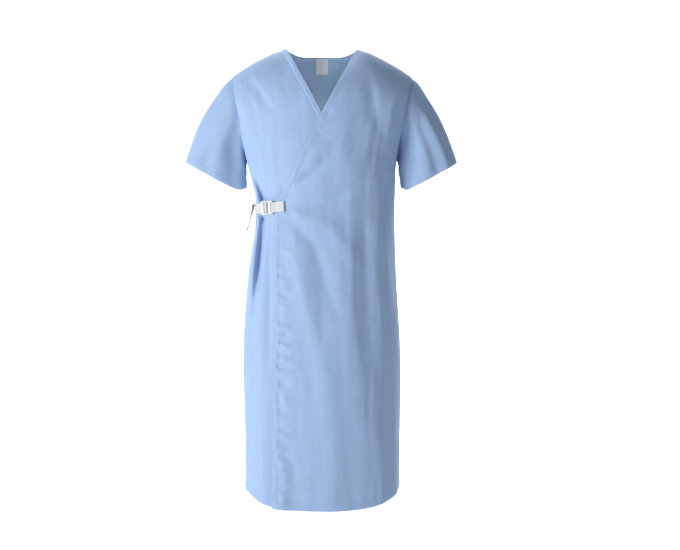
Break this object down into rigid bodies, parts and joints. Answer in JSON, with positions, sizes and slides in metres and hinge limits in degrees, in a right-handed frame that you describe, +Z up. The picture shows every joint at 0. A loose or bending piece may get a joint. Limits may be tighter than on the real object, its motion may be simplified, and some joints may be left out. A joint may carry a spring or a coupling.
{
  "type": "patient gown",
  "caption": "Short-sleeved wrap-over patient gown, standing open, held at the right waist by a webbing strap in a plastic ladder lock.",
  "frame": {"origin": "midway between the two neck points, at the height where the cloth rests on the shoulders", "axes": "+Z up; the front of the gown faces -Y; the wearer's left is +X"},
  "size_m": [0.6794, 0.2464, 1.1232],
  "materials": {
    "cloth": "light blue plain-weave polyester and cotton, matt",
    "webbing": "off-white woven webbing",
    "plastic": "white moulded acetal, low gloss",
    "label": "white woven satin label"
  },
  "bodies": {
    "gown": {"back_panel": "cloth", "right_front_panel": "cloth", "left_front_panel": "cloth", "back_neck_facing": "cloth", "right_front_facing": "cloth", "left_neck_facing": "cloth", "front_tab": "webbing", "side_strap": "webbing", "strap_return": "webbing", "inner_tab": "cloth", "inner_snap_cap": "plastic", "inner_snap_stud": "plastic", "inner_snap_socket": "plastic", "inner_snap_button": "plastic"},
    "skirt": {"left_front_skirt": "cloth", "left_skirt_facing": "cloth"},
    "lock": {"ladder_lock": "plastic", "strap_turn": "webbing"},
    "tail": {"strap_tail": "webbing"},
    "label": {"neck_label": "label"},
    "sleeve_left": {"left_sleeve": "cloth"},
    "sleeve_right": {"right_sleeve": "cloth"}
  },
  "joints": [
    {"name": "skirt_open", "type": "hinge", "parent": "gown", "child": "skirt", "pos_m": [-0.094, -0.123, -0.5], "axis": [-0.2433, 0.0156, 0.9698], "range_deg": [0, 150]},
    {"name": "ladder_lock_tilt", "type": "hinge", "parent": "gown", "child": "lock", "pos_m": [-0.1207, -0.09355, -0.39179], "axis": [-0.0538, 0.0445, 0.9976], "range_deg": [0, 35]},
    {"name": "strap_tail_swing", "type": "hinge", "parent": "gown", "child": "tail", "pos_m": [-0.16989, -0.02234, -0.38486], "axis": [0.2079, 0.9781, 0], "range_deg": [0, 80]},
    {"name": "label_flip", "type": "hinge", "parent": "gown", "child": "label", "pos_m": [0, 0.0589, -0.0179], "axis": [-1, 0, 0], "range_deg": [0, 150]},
    {"name": "left_sleeve_raise", "type": "hinge", "parent": "gown", "child": "sleeve_left", "pos_m": [0.222, 0, -0.067], "axis": [0, -1, 0], "range_deg": [0, 20]},
    {"name": "right_sleeve_raise", "type": "hinge", "parent": "gown", "child": "sleeve_right", "pos_m": [-0.222, 0, -0.067], "axis": [0, 1, 0], "range_deg": [0, 20]}
  ]
}
